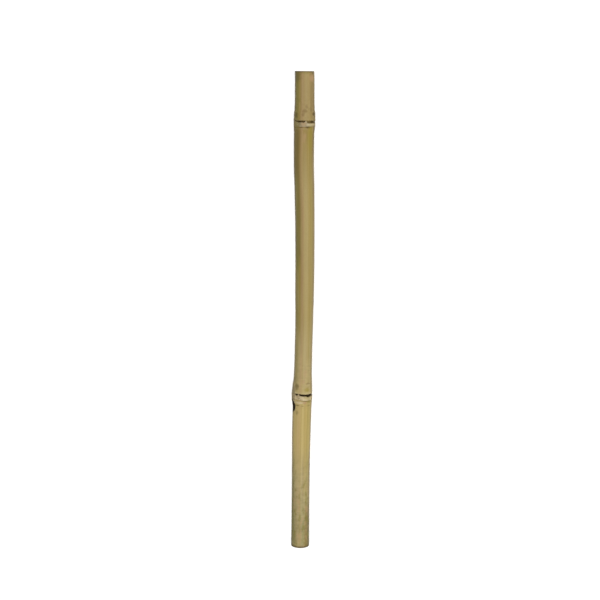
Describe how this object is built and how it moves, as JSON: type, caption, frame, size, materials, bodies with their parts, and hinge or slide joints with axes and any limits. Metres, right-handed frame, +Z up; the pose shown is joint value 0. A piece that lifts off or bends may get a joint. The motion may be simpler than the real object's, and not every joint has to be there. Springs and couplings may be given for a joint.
{
  "type": "bamboo cane",
  "caption": "Short length of dried bamboo culm, gently bowed, with swollen joints and a cut twig stub, sawn square and hollow at both ends.",
  "frame": {"origin": "on the surface the cane lies on, under the middle of its bounding box", "axes": "+X along the cane, from the end with the near joint to the end with the far joint and the twig stub; +Z up; the stub is on the -Y side"},
  "size_m": [0.5, 0.0222, 0.0215],
  "materials": {
    "bamboo": "dried bamboo skin, waxy satin, with pale corky rings at the joints"
  },
  "bodies": {
    "root": {"cane": "bamboo"}
  },
  "joints": []
}
